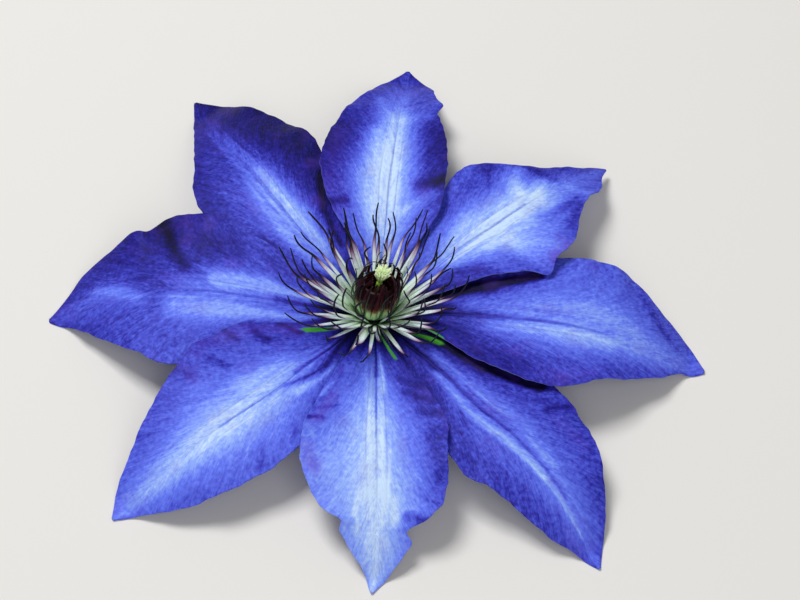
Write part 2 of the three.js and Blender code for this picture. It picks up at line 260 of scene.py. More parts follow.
# A group that every plant part uses: soft cell-sized mottling on Object
# coordinates. Value wanders round 1 by Amount and Height feeds a bump.
def makeTissueGroup():
    group = bpy.data.node_groups.new("plantTissue", "ShaderNodeTree")
    for name, way in (("Scale", "INPUT"), ("Amount", "INPUT"), ("Value", "OUTPUT"), ("Height", "OUTPUT")):
        group.interface.new_socket(name, in_out=way, socket_type="NodeSocketFloat")
    start = group.nodes.new("NodeGroupInput")
    end = group.nodes.new("NodeGroupOutput")
    grain = group.nodes.new("ShaderNodeTexNoise")
    grain.inputs["Detail"].default_value = 3.0
    plug(group.nodes.new("ShaderNodeTexCoord").outputs["Object"], grain.inputs["Vector"])
    plug(start.outputs["Scale"], grain.inputs["Scale"])
    swing = times(times(minus(grain.outputs["Fac"], 0.5), 2.0), start.outputs["Amount"])
    plug(plus(swing, 1.0), end.inputs["Value"])
    plug(grain.outputs["Fac"], end.inputs["Height"])
    return group


tissueGroup = makeTissueGroup()


# Places the group in a material's tree, with its own scale and amount.
def tissue(tree, scale, amount):
    node = tree.nodes.new("ShaderNodeGroup")
    node.node_tree = tissueGroup
    node.inputs["Scale"].default_value = scale
    node.inputs["Amount"].default_value = amount
    return node.outputs["Value"], node.outputs["Height"]


# A fresh material with its Principled shader on the output.
def newMaterial(name):
    material = bpy.data.materials.new(name)
    material.use_nodes = True
    tree = material.node_tree
    tree.nodes.clear()
    output = tree.nodes.new("ShaderNodeOutputMaterial")
    shader = tree.nodes.new("ShaderNodeBsdfPrincipled")
    plug(shader.outputs["BSDF"], output.inputs["Surface"])
    return material, tree, shader


# Dresses a shader: colour, roughness, gloss, and a bump whose relief is as deep
# as the distance in metres times the strength.
def dress(shader, tint, roughness, gloss, relief, strength, distance):
    plug(tint, shader.inputs["Base Color"])
    plug(roughness, shader.inputs["Roughness"])
    shader.inputs["Specular IOR Level"].default_value = gloss
    bump = treeOf(relief).nodes.new("ShaderNodeBump")
    bump.inputs["Strength"].default_value = strength
    bump.inputs["Distance"].default_value = distance
    plug(relief, bump.inputs["Height"])
    plug(bump.outputs["Normal"], shader.inputs["Normal"])


# Tepals

# The shared umbrella shape and blade, in millimetres.
blade = {
    "clawRadius": 4.4,
    "clawHeight": 8.0,
    "archRise": 5.0,
    "archRadius": 38.0,
    "tipHeight": -3.0,
    "tipSoftness": 0.6,
    "droopPower": 2.4,
    "liftRamp": 0.06,
    "thickness": 0.5,
    "marginThickness": 0.2,
    "barHeight": 0.25,
    "barEdge": 0.13,
    "barFoot": 0.36,
    "barTone": 0.07,
    "barToneEdge": (0.02, 0.09),
    "barToneStart": (0.15, 0.2),
    "barToneEnd": (0.95, 0.3),
    "barFade": 1.8,
    "grooveDepth": 0.12,
    "grooveWidth": 0.022,
    "sideVein": 0.14,
    "ruffle": 0.5,
    "rufflePaces": (4.3, 7.1, 9.7),
    "ruffleStart": 0.42,
    "ruffleRamp": 0.2,
    "ruffleEnd": 0.12,
    "ruffleSlant": 0.05,
    "ruffleOnRight": -0.8,
    "innerRuffle": 0.25,
    "foldPower": 2.5,
    "marginWave": 0.22,
    "marginPaces": (7, 11, 17, 26),
    "waveStart": 0.3,
    "waveEnd": 0.1,
    "leastHalfWidth": 0.2,
    # painted shade under the stamens, taken off the tone near the claw
    "clawShade": 0.3,
    "clawShadeEnd": 0.2,
    "meanLength": 72.0,
    "meanWidth": 16.0,
    "rows": 190,
    "columns": 110,
    "crowding": 0.35,  # how far the columns crowd towards the margins
    "seed": 11,
    "seedStep": 7,
}

over = [0.9, 1.4, 1.6, 0.7, 0]
under = [-0.6, -1.1, -1.1, -0.5, 0]

# Each tepal from claw to tip. Azimuth is its bearing in degrees. Reach, sway,
# which bends the midrib, and left and right, the margins' distances from the
# straight line, are in millimetres, and lift parts overlapping margins.
# All else is in percent. A place runs from 0 at the claw to 100 at the tip, a
# side from -100 at the right margin to 100 at the left one, and a tone from 0,
# nearly black, through violet at 40 to 100, the palest blue.
# Folds: 1 for left or -1 for right, place, length, and height in millimetres.
# Notches: the same with a depth.
# Bar is the tone of the middle and barWidth the bar's half width, leftTone and
# rightTone are the margins' tones, and middle moves the bar and its veins
# sideways. Tones hold painted light and shade as well as the tepal's own colour:
# margins darken where they turn from the light, the north tepal's bar is the
# brightest and the north-west tepal the darkest. Marks are soft strokes over
# that: place and side of both ends, half width in millimetres, and the tone they
# add. Pale marks and thin dark veins are the tepal's own pattern; the other dark
# marks are painted shade: shadows cast by a tepal lying over a margin, shade
# under the stamens near the claw and shade in folds. Blush and greens are
# strokes that turn the colour towards purple and green.
tepals = {
    "tepal_east": dict(
        azimuth=-8.4, reach=76.3, liftLeft=under, liftRight=over,
        sway=[0, 0, -0.8, -1.2, -1.5, -1.9, -1.7, 0],
        left=[1.2, 9.2, 15.4, 19, 21.2, 20.4, 12.2, 0.3],
        right=[1.2, 6.2, 13.2, 17.2, 17, 12.4, 6.8, 0.3],
        folds=[(-1, 36, 6, 1), (-1, 54, 5, -0.9), (-1, 68, 5, 0.9), (1, 62, 8, 0.8)],
        notches=[(-1, 80, 3, 0.4), (-1, 92, 4, 1.6), (1, 95, 5, -1.6)],
        middle=[0, 5, 8, 8, 4, 0],
        bar=[30, 34, 50, 66, 63, 50], barWidth=[25, 40, 55, 58, 52, 70],
        leftTone=[20, 30, 38, 43, 38, 40], rightTone=[22, 25, 28, 31, 36, 44],
        marks=[
            (25, 30, 50, 30, 2.4, 10), (50, 30, 78, 28, 2, 8), (32, -10, 68, -8, 2.6, 16),
            (10, 8, 35, 7, 0.9, -20), (35, 7, 70, 9, 0.6, -16), (45, 20, 75, 16, 0.5, -10),
            # strokes of -60 by the left margin: painted shadow of the north-east tepal
            (8, 30, 16, 20, 2, -15), (30, -75, 42, -80, 3.4, -6), (10, 66, 30, 64, 1.8, -60),
            (30, 64, 44, 74, 1.3, -60), (80, 80, 90, 50, 1.6, -10),
        ],
        blush=[(50, -80, 65, -80, 2, 15)],
        greens=[(4, -100, 16, -100, 1.3, 120)],
    ),
    "tepal_north_east": dict(
        azimuth=41.1, reach=73.8, tip=2.2, liftLeft=under, liftRight=over,
        sway=[0, 0, 0.2, 0.2, 0, -0.6, -0.9, 0],
        left=[1.2, 5.8, 9.6, 15, 17, 10.5, 4.3, 0.3],
        right=[1.2, 7.5, 11.5, 17.5, 18, 12.2, 5.8, 0.3],
        folds=[(1, 38, 4, -1.4), (1, 49, 5, 1.3), (-1, 54, 5, 1.2), (-1, 44, 3, -0.8), (-1, 80, 5, 1.2)],
        notches=[
            (-1, 88, 5, -1.7), (-1, 45, 3.5, -2.6), (-1, 74, 6, 0.9), (1, 62, 7, -1.4), (1, 78, 3, 0.6),
        ],
        middle=[0, -3, -5, -5, 0, 0],
        bar=[40, 70, 90, 90, 54, 42], barWidth=[30, 40, 50, 50, 45, 60],
        leftTone=[40, 45, 45, 38, 28, 32], rightTone=[30, 30, 38, 42, 42, 42],
        marks=[
            (42, 70, 56, 58, 3.4, -13), (56, 50, 64, 95, 1.6, -16), (62, 20, 70, 80, 2, 22),
            (66, 0, 72, 30, 2.2, 16), (74, 90, 76, 20, 1.4, -12), (30, 25, 40, 35, 2.6, 12),
            (45, -40, 54, -85, 3, 16), (20, -50, 30, -70, 2.2, -10), (25, -25, 45, -30, 2.2, 12),
            (66, -30, 80, -35, 2, 10), (60, -35, 76, -70, 1.6, -14), (66, -85, 74, -90, 2.2, -14),
            (78, -20, 82, -90, 1.6, 14), (12, -12, 60, -3, 0.35, -14), (12, -30, 50, -22, 0.35, -10),
        ],
        blush=[(50, -95, 58, -95, 1.4, 35)],
    ),
    "tepal_north": dict(
        azimuth=84.6, reach=82.9, liftLeft=over, liftRight=over,
        sway=[0, 0, -0.2, -0.2, 0, 0, 0, 0],
        left=[1.2, 5.8, 12.8, 16.8, 16.6, 13.8, 8.9, 0.3],
        right=[1.2, 6.4, 12, 13.2, 12.4, 9.8, 7.6, 0.3],
        folds=[(1, 42, 6, 1.3), (-1, 44, 6, 1.3), (-1, 79, 4, 0.8), (1, 66, 6, -0.8)],
        notches=[(-1, 73, 2, 0.6), (-1, 78, 3, -1.1), (-1, 93, 5, -1.6), (1, 94, 5, -1.4)],
        middle=[0, 0, 3, 0, 0, 0],
        bar=[60, 85, 95, 88, 50, 30], barWidth=[50, 55, 52, 46, 45, 60],
        leftTone=[45, 45, 22, 14, 32, 24], rightTone=[40, 40, 20, 14, 36, 20],
        marks=[
            # the first two strokes: painted shade in the folds near the base
            (32, 70, 30, 100, 1.2, -22), (40, -50, 41, -100, 1.6, -20), (25, 30, 45, 40, 2.6, 12),
            (45, 30, 62, 30, 2.4, 16), (30, -30, 36, -80, 1.6, 16), (68, 15, 80, 50, 1.8, 12),
            (68, -10, 72, -75, 2, 14), (20, 0, 62, 2, 0.4, -8), (76, -10, 80, -50, 0.5, -12),
        ],
        blush=[(35, 80, 60, 85, 2.5, 12)],
    ),
    "tepal_north_west": dict(
        azimuth=122.2, reach=84.9, liftLeft=under, liftRight=under,
        sway=[0, 2, 3.3, 3.8, 4, 4.6, 3.5, 0],
        left=[1.2, 6.8, 13, 18.8, 18.8, 12.6, 6.5, 0.3],
        right=[1.2, 4.8, 8.4, 12, 14.6, 13.2, 9, 0.3],
        folds=[(-1, 60, 5, 1.3), (-1, 73, 5, -1.1), (-1, 85, 5, 0.9), (1, 60, 7, 0.8)],
        notches=[(-1, 95, 5, -1.4)],
        middle=[0, -2, -3, -3, -2, 0],
        bar=[35, 62, 66, 44, 26, 20], barWidth=[40, 48, 44, 38, 36, 50],
        leftTone=[30, 34, 30, 22, 22, 20], rightTone=[30, 24, 14, 10, 12, 12],
        marks=[
            (15, 45, 32, 30, 2.6, 20), (32, 30, 50, 15, 2, 12), (18, -20, 35, -25, 2.4, 18),
            # strokes of -22 by the right margin: painted shadow of the north tepal
            (35, -22, 55, -10, 1.8, 16), (20, -64, 32, -64, 1.2, -22), (32, -64, 45, -85, 1.3, -22),
            (22, 0, 60, 0, 0.35, -12), (28, 75, 33, 70, 0.8, -14), (50, 50, 70, 60, 3, 6),
        ],
    ),
    "tepal_west": dict(
        azimuth=177.2, reach=76, liftLeft=under, liftRight=over,
        sway=[0, 0.6, -0.5, -1.6, -2.3, -2.6, -2.4, 0],
        left=[1.2, 6, 10.4, 15, 18.3, 13.4, 6.3, 0.3],
        right=[1.2, 7.5, 15, 20.5, 24, 20, 15.3, 0.3],
        folds=[(-1, 63, 3.5, -1.4), (-1, 74, 5, 1.8), (-1, 50, 5, 1), (1, 66, 6, 0.7)],
        notches=[(-1, 69, 3, 1.2), (-1, 77, 4, -1), (-1, 64, 5, -2.2), (-1, 93, 6, -1.8), (1, 93, 4, 0.9)],
        middle=[0, -2, 0, 0, 2, 0],
        bar=[30, 45, 52, 38, 40, 38], barWidth=[35, 40, 45, 50, 50, 60],
        leftTone=[20, 30, 38, 40, 33, 30], rightTone=[30, 32, 32, 17, 20, 28],
        marks=[
            (14, 50, 35, 36, 2.8, 30), (35, 36, 58, 24, 2.8, 30), (16, -28, 30, -26, 2.4, 30),
            (30, -26, 46, -20, 2, 26), (8, -8, 25, -2, 1.4, -25), (26, 75, 34, 60, 1.2, -20),
            # dark strokes across the margins: painted shade in folds
            (20, 100, 28, 78, 0.6, -25), (30, 100, 38, 88, 0.6, -20), (56, -30, 60, -50, 1.6, -16),
            (60, -50, 66, -100, 1.3, -20), (40, -70, 50, -60, 3, -10), (10, 80, 22, 80, 2, -12),
            (62, -2, 70, -12, 2.4, -10), (70, 15, 85, -20, 2, 16), (25, 2, 60, 4, 0.35, -12),
        ],
        blush=[(12, 85, 28, 95, 2.4, 35)],
    ),
    "tepal_south_west": dict(
        azimuth=221.8, reach=77.1, liftLeft=under, liftRight=over,
        sway=[0, 2.5, 3, 3, 2.9, 2.2, 1.2, 0],
        left=[1.2, 6.2, 12.5, 17.4, 18, 15.4, 9.6, 0.3],
        right=[1.2, 6.2, 13.5, 17.3, 15.7, 12.2, 7.5, 0.3],
        folds=[(-1, 32, 3.5, 1), (-1, 41, 3.5, -0.7), (-1, 50, 4, 1), (1, 62, 6, -0.8)],
        notches=[(1, 63, 3, 0.6), (1, 93, 5, 1.2), (-1, 94, 5, -1)],
        middle=[0, -4, 4, 0, 0, 0],
        bar=[30, 50, 74, 88, 76, 66], barWidth=[30, 40, 52, 52, 50, 70],
        leftTone=[30, 40, 45, 46, 44, 50], rightTone=[30, 32, 34, 37, 40, 52],
        marks=[
            # first stroke: painted shade under the stamens; dark strokes across margins: painted fold shade
            (10, 10, 22, 40, 3, -22), (20, 40, 36, 8, 0.7, -28), (36, 8, 60, 0, 0.4, -20),
            (10, -8, 30, -2, 0.5, -28), (20, 62, 34, 34, 1.6, 26), (34, 30, 85, 16, 2.4, 8),
            (30, -20, 45, -25, 2.2, 14), (19, -72, 22, -100, 0.9, -20), (29, -68, 30, -85, 1, -18),
            (36, -80, 37, -100, 0.7, -16), (45, -55, 47, -75, 1, -12), (55, -80, 57, -100, 0.9, -12),
            (27, 85, 33, 82, 0.9, -35), (42, 70, 46, 85, 0.8, -10), (55, 65, 60, 90, 0.8, -10),
        ],
        blush=[(12, -80, 45, -95, 1.8, 22), (28, 100, 40, 100, 1.5, 40)],
        greens=[(5, -60, 16, -78, 1.3, 120)],
    ),
    "tepal_south": dict(
        azimuth=269.7, reach=70.3, liftLeft=over, liftRight=over,
        sway=[0, 0.5, 0.9, 1.1, 1.3, 1.1, 0.8, 0],
        left=[1.2, 5.2, 11, 16, 16.4, 15.8, 8.8, 0.3],
        right=[1.2, 6, 10.5, 14.2, 16, 13, 5.6, 0.3],
        folds=[(-1, 46, 6, 1.6), (1, 78, 3.5, 1.3), (-1, 79, 3.5, 1.3), (1, 55, 6, 0.8)],
        notches=[(1, 82.5, 2, 3), (1, 75, 2.5, -0.5), (-1, 80, 1.6, 1.6), (-1, 94, 4, 0.9)],
        middle=[0, -3, -3, -2, 0, 0],
        bar=[35, 62, 84, 92, 94, 85], barWidth=[30, 42, 50, 60, 65, 90],
        leftTone=[25, 25, 30, 36, 50, 65], rightTone=[30, 40, 50, 60, 65, 68],
        marks=[
            (5, 0, 24, -3, 0.7, -40), (24, -3, 42, -3, 0.4, -25), (42, -3, 66, -3, 0.3, -10),
            # dark strokes across the margins: painted shade in folds
            (14, 15, 30, 14, 0.9, 20), (25, 50, 30, 90, 1.3, -10), (32, 55, 36, 90, 1.3, -12),
            (40, 65, 42, 100, 1.2, -10), (50, 80, 72, 90, 2.4, -12), (78, 50, 80, 100, 0.9, -28),
            (72, 65, 75, 100, 0.8, -14), (34, -70, 36, -95, 0.8, -12), (38, -66, 40, -95, 1, -18),
            (44, -80, 45, -100, 0.8, -28), (28, -90, 34, -98, 0.6, 20), (70, -20, 83, -60, 1.2, 10),
            (68, 5, 80, 40, 1.6, 12),
        ],
        blush=[(34, -78, 45, -86, 1.6, 35), (55, -90, 64, -85, 1.5, 30)],
        greens=[(3, 75, 15, 80, 1.5, 100)],
    ),
    "tepal_south_east": dict(
        azimuth=307.5, reach=80.8, liftLeft=under, liftRight=under,
        sway=[0, -1.2, -2.4, -2.8, -0.6, 1.3, 1.6, 0],
        left=[1.2, 8.8, 13.6, 17.2, 18.7, 16.8, 10.6, 0.3],
        right=[1.2, 4.8, 8, 11, 12.2, 8.5, 5.4, 0.3],
        folds=[(-1, 66, 3.5, 0.9), (1, 64, 5, -0.9), (1, 76, 5, 0.9), (-1, 50, 5, 0.6)],
        notches=[(-1, 92, 5, 0.8), (1, 62, 3, 0.4)],
        middle=[0, 14, 18, 14, 6, 0],
        bar=[30, 33, 40, 50, 56, 50], barWidth=[30, 36, 42, 46, 50, 60],
        leftTone=[18, 20, 26, 33, 32, 40], rightTone=[26, 27, 31, 33, 33, 40],
        marks=[
            (20, 32, 50, 34, 1.6, 16), (50, 34, 70, 24, 1.6, 12), (26, 10, 45, 4, 1.2, 24),
            (45, 4, 72, -2, 1.3, 28), (72, -2, 90, -6, 1.2, 16), (10, 8, 30, 19, 0.8, -22),
            (30, 19, 55, 15, 0.5, -24), (55, 15, 80, 9, 0.4, -18), (35, 26, 60, 22, 0.35, -12),
            # strokes of -55 by the left margin: painted shadow of the east tepal
            (30, -52, 34, -56, 3.6, -14), (13, 66, 32, 66, 1.3, -55), (32, 66, 48, 86, 1.1, -55),
            (50, -30, 75, -30, 2.5, 5), (55, 70, 58, 95, 0.8, -12),
        ],
        blush=[(60, 70, 70, 80, 1.5, 15)],
        greens=[(4, 55, 16, 62, 1.3, 130)],
    ),
}


# Height of the umbrella: a parabola up from the claw to the crest, then a
# droop that grows with a power of the distance to the tip.
def archHeight(radius, reach, tip):
    climb = 1 - (1 - np.minimum(radius, blade["archRadius"]) / blade["archRadius"]) ** 2
    start = 1 - (1 - blade["clawRadius"] / blade["archRadius"]) ** 2
    rise = blade["clawHeight"] + blade["archRise"] * (climb - start)
    share = np.maximum(radius - blade["archRadius"], 0) / (reach - blade["archRadius"])
    return rise - (rise - tip) * share ** blade["droopPower"]


# Shares from percents.
def percent(values):
    return np.asarray(values, float) / 100


# Half width of one side: the smooth outline less its notches, with a slight
# irregular wave.
def halfWidths(spec, s, side, seed):
    sway = along(spec["sway"], s)
    width = along(spec["left"], s) - sway if side > 0 else along(spec["right"], s) + sway
    for notchSide, place, length, depth in spec["notches"]:
        if notchSide == side:
            width = width - depth * bell(s, place / 100, length / 100)
    wave = blade["marginWave"] * wobble(s, blade["marginPaces"], seed + side)
    wave = wave * smoothStep(s / blade["waveStart"]) * smoothStep((1 - s) / blade["waveEnd"])
    return np.maximum(width + wave, blade["leastHalfWidth"])


# Middle surface: s runs from claw to tip, t from right margin to left margin.
# Height is the umbrella, plus lift and folds that grow towards the margin,
# plus the raised bar with its three grooves, plus a fine ruffle.
def tepalMiddle(spec, s, t, seed):
    run = blade["clawRadius"] + (spec["reach"] - blade["clawRadius"]) * s
    sway = along(spec["sway"], s)
    leftWidth = halfWidths(spec, s, 1, seed)
    rightWidth = halfWidths(spec, s, -1, seed)
    edge = np.abs(t)
    offset = np.where(t >= 0, t * leftWidth, t * rightWidth)
    across = sway + offset
    height = archHeight(np.hypot(run, across), spec["reach"], spec.get("tip", blade["tipHeight"]))
    lift = np.where(t >= 0, along(spec["liftLeft"], s), along(spec["liftRight"], s))
    height = height + lift * smoothStep(s / blade["liftRamp"]) * edge ** 2
    for side, place, length, rise in spec["folds"]:
        fold = rise * bell(s, place / 100, length / 100) * edge ** blade["foldPower"]
        height = height + np.where(t * side > 0, fold, 0)
    fromBar = np.abs(t - along(percent(spec["middle"]), s))
    climb = np.where(fromBar < blade["barEdge"], fromBar / blade["barEdge"],
                     (blade["barFoot"] - fromBar) / (blade["barFoot"] - blade["barEdge"]))
    height = height + blade["barHeight"] * np.maximum(climb, 0) * np.sin(np.pi * s)
    for place in (0, blade["sideVein"]):
        groove = blade["grooveDepth"] * bell(fromBar, place, blade["grooveWidth"])
        height = height - groove * np.sin(np.pi * s) ** 0.5
    outer = smoothStep((s - blade["ruffleStart"]) / blade["ruffleRamp"])
    outer = outer * smoothStep((1 - s) / blade["ruffleEnd"])
    ruffles = wobble(s + blade["ruffleSlant"] * t, blade["rufflePaces"], seed + 50)
    ruffles = ruffles * np.where(t > 0, 1, blade["ruffleOnRight"])
    share = blade["innerRuffle"] + (1 - blade["innerRuffle"]) * outer
    height = height + blade["ruffle"] * ruffles * edge ** 3 * share
    angle = math.radians(spec["azimuth"])
    points = np.stack([
        run * math.cos(angle) - across * math.sin(angle),
        run * math.sin(angle) + across * math.cos(angle),
        height,
    ], axis=-1)
    return points, run, offset


# Soft strokes: each is a bell of the distance to a line, with that distance
# measured on a blade of average length and width. Where strokes cross, the
# strongest lighter one and the strongest darker one count.
def strokes(marks, s, t):
    lighter, darker = np.zeros_like(s), np.zeros_like(s)
    x, y = s * blade["meanLength"], t * blade["meanWidth"]
    for place1, side1, place2, side2, width, amount in marks:
        x1, y1 = place1 / 100 * blade["meanLength"], side1 / 100 * blade["meanWidth"]
        x2, y2 = place2 / 100 * blade["meanLength"], side2 / 100 * blade["meanWidth"]
        length = (x2 - x1) ** 2 + (y2 - y1) ** 2
        share = np.clip(((x - x1) * (x2 - x1) + (y - y1) * (y2 - y1)) / length, 0, 1)
        distance = np.hypot(x - x1 - share * (x2 - x1), y - y1 - share * (y2 - y1))
        stroke = amount / 100 * bell(distance, 0, width)
        lighter, darker = np.maximum(lighter, stroke), np.minimum(darker, stroke)
    return lighter + darker


# Tone of the blade: the bar's fades into the margin's away from the middle, the
# raised part between the side veins is a little paler, the strokes are added, and
# near the claw painted shade under the stamens is taken off.
def toneOf(spec, s, t, fromBar):
    bar, barWidth, left, right = (
        along(percent(spec[key]), s) for key in ("bar", "barWidth", "leftTone", "rightTone")
    )
    margin = np.where(fromBar >= 0, left, right)
    share = np.exp(-((np.abs(fromBar) / barWidth) ** blade["barFade"]))
    within, soft = blade["barToneEdge"]
    start, rise = blade["barToneStart"]
    end, fall = blade["barToneEnd"]
    raised = 1 - smoothStep((np.abs(fromBar) - blade["barEdge"] + within) / soft)
    raised = blade["barTone"] * raised * smoothStep((s - start) / rise) * smoothStep((end - s) / fall)
    claw = blade["clawShade"] * (1 - smoothStep(s / blade["clawShadeEnd"]))
    return margin + (bar - margin) * share + raised + strokes(spec["marks"], s, t) - claw


# Eases a height onto the surface below: half of height and floor together plus
# the root of their squared difference and a small squared softness.
def settled(height, floor):
    return (height + floor + np.sqrt((height - floor) ** 2 + blade["tipSoftness"] ** 2)) / 2


# Two skins either side of the middle surface along its normal, thinner at the
# margins, joined by a rim. Tips lie flat on the surface below.
def makeTepal(name, spec, seed, material):
    rows, columns = blade["rows"], blade["columns"]
    s, t = np.meshgrid(np.linspace(0, 1, rows), np.linspace(-1, 1, columns), indexing="ij")
    t = np.sin(t * np.pi / 2) * blade["crowding"] + t * (1 - blade["crowding"])
    middle, run, offset = tepalMiddle(spec, s, t, seed)
    normal = np.cross(np.gradient(middle, axis=0), np.gradient(middle, axis=1))
    normal /= np.linalg.norm(normal, axis=-1, keepdims=True)
    edge = np.abs(t)
    thickness = blade["marginThickness"] + (blade["thickness"] - blade["marginThickness"]) * (1 - edge ** 6)
    top = middle + normal * thickness[..., None] / 2
    bottom = middle - normal * thickness[..., None] / 2
    top[..., 2] = settled(top[..., 2], thickness)
    bottom[..., 2] = settled(bottom[..., 2], 0)
    count = rows * columns
    topFaces = gridFaces(rows, columns)
    bottomFaces = gridFaces(rows, columns, count)[:, ::-1]
    rim = np.concatenate([
        np.arange(rows - 1) * columns,
        (rows - 1) * columns + np.arange(columns - 1),
        np.arange(rows - 1, 0, -1) * columns + columns - 1,
        np.arange(columns - 1, 0, -1),
    ])
    after = np.roll(rim, -1)
    rimFaces = np.stack([rim, rim + count, after + count, after], axis=1)

    def both(values):
        return np.tile(values.ravel(), 2)

    fromBar = t - along(percent(spec["middle"]), s)
    attributes = {
        "run": both(run / 10),  # centimetres
        "side": both(offset / 10),
        "fromBar": both(np.abs(fromBar)),
        "place": both(s),
        "tone": both(toneOf(spec, s, t, fromBar)),
        "blush": both(strokes(spec.get("blush", []), s, t)),
        "green": both(strokes(spec.get("greens", []), s, t)),
        "upper": np.concatenate([np.ones(count), np.zeros(count)]),
    }
    points = np.concatenate([top.reshape(-1, 3), bottom.reshape(-1, 3)])
    faces = [topFaces, bottomFaces, rimFaces]
    piece = makePiece(name + "_blade", points, faces, attributes, material)
    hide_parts(name)


# Finish of the tepals: the tones of the blade and how the streaks run. Streaks
# leave the midrib at a low angle and turn outwards as they near the margin.
tepalLook = {
    "tones": [
        (0.0, colour(6, 2, 46)), (0.1, colour(13, 8, 84)), (0.2, colour(30, 24, 130)),
        (0.3, colour(46, 46, 166)), (0.4, colour(68, 76, 204)), (0.6, colour(100, 121, 244)),
        (0.8, colour(144, 174, 253)), (1.0, colour(200, 225, 255)),
    ],
    "blush": colour(96, 60, 184),
    "vein": colour(64, 62, 184),
    "baseGreen": colour(64, 150, 44),
    "speck": colour(225, 232, 255),
    "underside": colour(140, 146, 214),
    "undersideVein": colour(104, 74, 150),
    "streakSlant": 2.5,
    "streakTurn": 0.56,
    "coarse": 0.32,
    "coarseScales": (3.6, 1.6),
    "fine": 0.4,
    "fineScales": (14.0, 8.0),
    "grain": 0.36,
    "barLines": 0.4,
    "lineScales": (0.5, 9.0),
    "violet": 0.2,
    "violetEdge": (0.5, 0.75),
    "greenEdge": (0.2, 0.9),
    "veinDepth": 0.55,
    "veinFade": (0.35, 0.9),
    "middleVeinEdge": (0.004, 0.028),
    "sideVeinEdge": (0.002, 0.022),
    "speckScale": 1.6,
    "speckShare": 0.25,
    "speckEdge": (0.015, 0.035),
    "roughness": 0.42,
    "gloss": 0.14,
}


# Noise about 0.5 as a swing of up to half the amount each way.
def swingOf(value, amount):
    return times(minus(value, 0.5), amount)


# Noise drawn out along a blade: two of its measures, each times a scale.
def drawnNoise(first, second, scales, apart, detail=3.0):
    return noise(combine(times(first, scales[0]), times(second, scales[1]), apart), 1.0, detail, 0.6)


# Tone is the painted one moved up and down by noise drawn out along the
# streaks, coarse and fine, by an even grain, and on the bar by noise drawn out
# along the blade. Veins are thin dark lines at set distances from the bar's
# middle. Specks are rare small dots, and patches of violet come from slow noise.
def makeTepalMaterial():
    material, tree, shader = newMaterial("tepalVelvet")
    run, side, place, painted, fromBar = (
        attribute(tree, name) for name in ("run", "side", "place", "tone", "fromBar")
    )
    away, sign = calc("ABSOLUTE", side), calc("SIGN", side)
    drift = noise(combine(run, side, 5.0), 1.5, 2.0)
    bend = minus(tepalLook["streakSlant"], times(away, tepalLook["streakTurn"]))
    slant = plus(minus(run, times(away, bend)), times(drift, 0.5))
    coarse = drawnNoise(slant, away, tepalLook["coarseScales"], sign, 4.0)
    fine = drawnNoise(slant, away, tepalLook["fineScales"], sign)
    grainValue, grain = tissue(tree, 1100.0, 0.05)
    swing = plus(swingOf(coarse, tepalLook["coarse"]), swingOf(fine, tepalLook["fine"]))
    swing = plus(swing, swingOf(grain, tepalLook["grain"]))
    calm = calc("MINIMUM", plus(0.4, times(painted, 1.5)), minus(1.05, times(painted, 0.35)))
    lines = swingOf(drawnNoise(run, side, tepalLook["lineScales"], 2.0), tepalLook["barLines"])
    swing = plus(times(swing, calm), times(lines, ramp(fromBar, 0.5, 0.1)))
    tint = colourRamp(plus(painted, swing, clamp=True), tepalLook["tones"])
    violet = times(ramp(drift, *tepalLook["violetEdge"]), tepalLook["violet"])
    tint = blendColour(plus(attribute(tree, "blush"), violet, clamp=True), tint, tepalLook["blush"])

    fromSideVein = calc("ABSOLUTE", minus(fromBar, blade["sideVein"]))
    middleVein = minus(1.0, ramp(fromBar, *tepalLook["middleVeinEdge"]))
    sideVein = minus(1.0, ramp(fromSideVein, *tepalLook["sideVeinEdge"]))
    veins = calc("MAXIMUM", middleVein, times(sideVein, 0.5))
    veins = times(veins, times(minus(1.0, ramp(place, *tepalLook["veinFade"])), tepalLook["veinDepth"]))
    tint = blendColour(veins, tint, tepalLook["vein"])

    dots = tree.nodes.new("ShaderNodeTexVoronoi")
    plug(combine(run, side, 0.0), dots.inputs["Vector"])
    dots.inputs["Scale"].default_value = tepalLook["speckScale"]
    draws = tree.nodes.new("ShaderNodeSeparateColor")
    plug(dots.outputs["Color"], draws.inputs["Color"])
    chosen = calc("GREATER_THAN", draws.outputs["Red"], 1 - tepalLook["speckShare"])
    speck = times(minus(1.0, ramp(dots.outputs["Distance"], *tepalLook["speckEdge"])), times(chosen, 0.7))
    tint = blendColour(speck, tint, tepalLook["speck"])
    green = plus(attribute(tree, "green"), times(swing, 1.5))
    tint = blendColour(ramp(green, *tepalLook["greenEdge"]), tint, tepalLook["baseGreen"])
    under = blendColour(veins, tepalLook["underside"], tepalLook["undersideVein"])
    tint = blendColour(attribute(tree, "upper"), under, tint)
    relief = plus(plus(fine, times(coarse, 1.2)), times(grain, 0.3))
    roughness = plus(tepalLook["roughness"], times(fine, 0.25))
    dress(shader, shadeColour(tint, grainValue), roughness, tepalLook["gloss"], relief, 0.6, 0.0003)
    return material


print("tepals")
tepalMaterial = makeTepalMaterial()
for number, (name, spec) in enumerate(tepals.items()):
    makeTepal(name, spec, blade["seed"] + blade["seedStep"] * number, tepalMaterial)


# Strands: stamens and styles

# Faces of a tube of rings: quads from ring to ring, and at each end a fan to the
# pole point that follows the rings. A looped tube joins its last ring to its first.
def tubeFaces(rings, sides, looped=False):
    first = np.arange(sides)
    second = (first + 1) % sides
    start = np.arange(rings if looped else rings - 1)[:, None] * sides
    onward = (start + sides) % (rings * sides)
    quads = np.stack([start + first, start + second, onward + second, onward + first], axis=-1).reshape(-1, 4)
    pole, last = rings * sides, (rings - 1) * sides
    fans = np.concatenate([
        np.stack([np.full(sides, pole), second, first], axis=1),
        np.stack([np.full(sides, pole + 1), last + first, last + second], axis=1),
    ])
    return quads, fans[:0] if looped else fans


